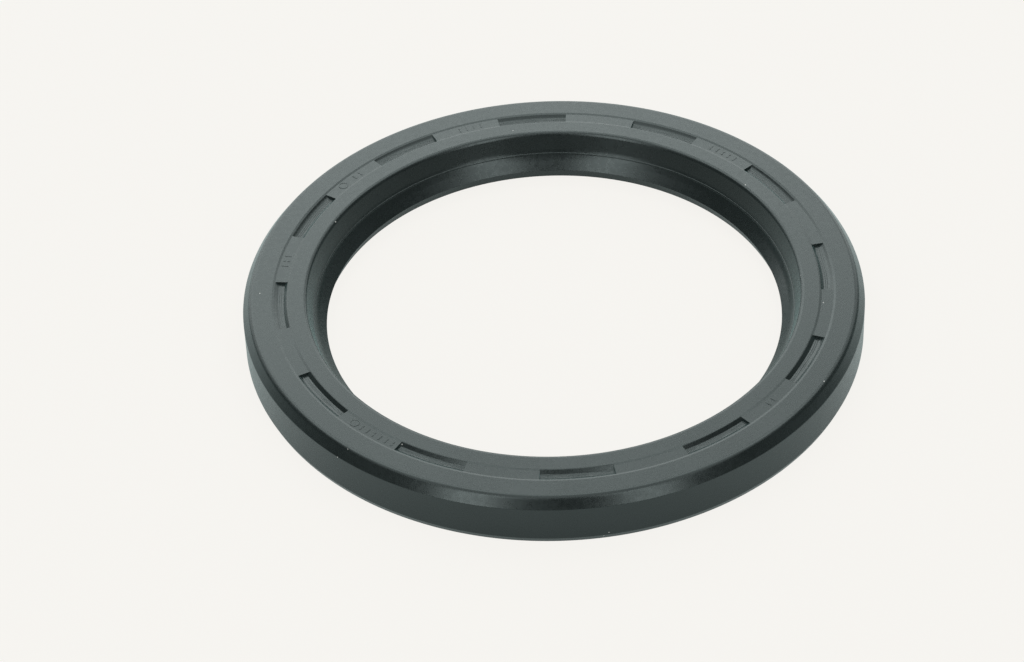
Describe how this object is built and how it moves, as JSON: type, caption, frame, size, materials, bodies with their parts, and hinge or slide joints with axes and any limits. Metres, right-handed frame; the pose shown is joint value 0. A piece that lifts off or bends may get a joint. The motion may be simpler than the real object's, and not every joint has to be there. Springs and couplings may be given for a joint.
{
  "type": "radial shaft seal",
  "caption": "Rubber-covered rotary shaft seal with a steel case ring inside, a spring-loaded sealing lip and a closed, pocketed back face.",
  "frame": {"origin": "on the seal's axis, in the plane of the oil-side rim that it rests on", "axes": "+Z along the axis, from the oil side with the spring to the closed back that faces the air; +X through the middle of one back-face pocket"},
  "size_m": [0.14, 0.14, 0.012],
  "materials": {
    "moulded_rubber": "moulded rubber with a soft satin sheen",
    "case_steel": "phosphated cold-rolled sheet, matt grey",
    "spring_steel": "drawn spring wire, lightly oiled"
  },
  "bodies": {
    "root": {"seal_body": "moulded_rubber", "steel_case_ring": "case_steel", "garter_spring": "spring_steel"}
  },
  "joints": []
}
